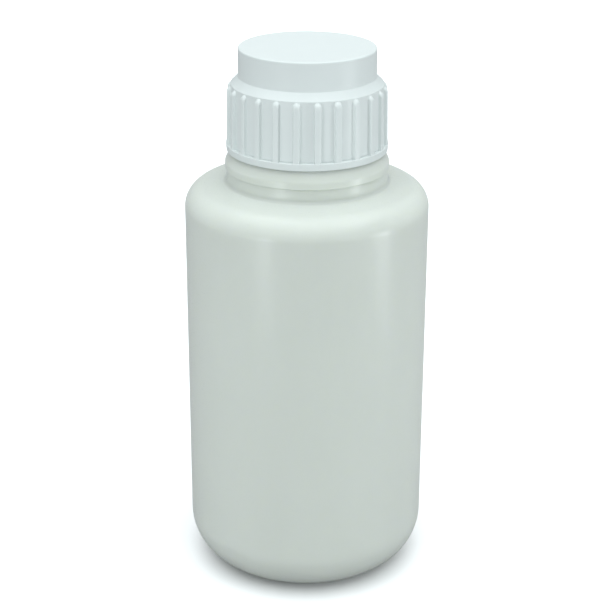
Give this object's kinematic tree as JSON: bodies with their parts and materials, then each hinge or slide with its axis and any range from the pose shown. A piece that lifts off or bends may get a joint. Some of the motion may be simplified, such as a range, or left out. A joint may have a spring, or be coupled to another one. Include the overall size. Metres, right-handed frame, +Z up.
{
  "type": "reagent bottle",
  "caption": "Round plastic laboratory reagent bottle with a wide threaded neck, a ribbed screw cap and a sealing gasket inside the cap.",
  "frame": {"origin": "centre of the ring that the bottle stands on, at the surface under it", "axes": "+Z up along the bottle's axis, -Y towards the picture's viewer, +X to the viewer's right"},
  "size_m": [0.097, 0.097, 0.2181],
  "materials": {
    "natural_plastic": "natural unpigmented plastic, milky and translucent, satin",
    "white_plastic": "opaque white moulded plastic, satin",
    "gasket_rubber": "pale grey elastomer, matt"
  },
  "bodies": {
    "bottle": {"bottle_body": "natural_plastic"},
    "gasket": {"cap_gasket": "gasket_rubber"},
    "cap": {"screw_cap": "white_plastic"}
  },
  "joints": [
    {"name": "cap_lift", "type": "slide", "parent": "bottle", "child": "gasket", "axis": [0, 0, 1], "range_m": [0, 0.0413]},
    {"name": "cap_turn", "type": "hinge", "parent": "gasket", "child": "cap", "pos_m": [0, 0, 0.2], "axis": [0, 0, 1], "range_deg": [0, 2340]}
  ],
  "couplings": [
    {"joint": "cap_lift", "follows": "cap_turn", "m_per_rad": 0.0010106}
  ]
}
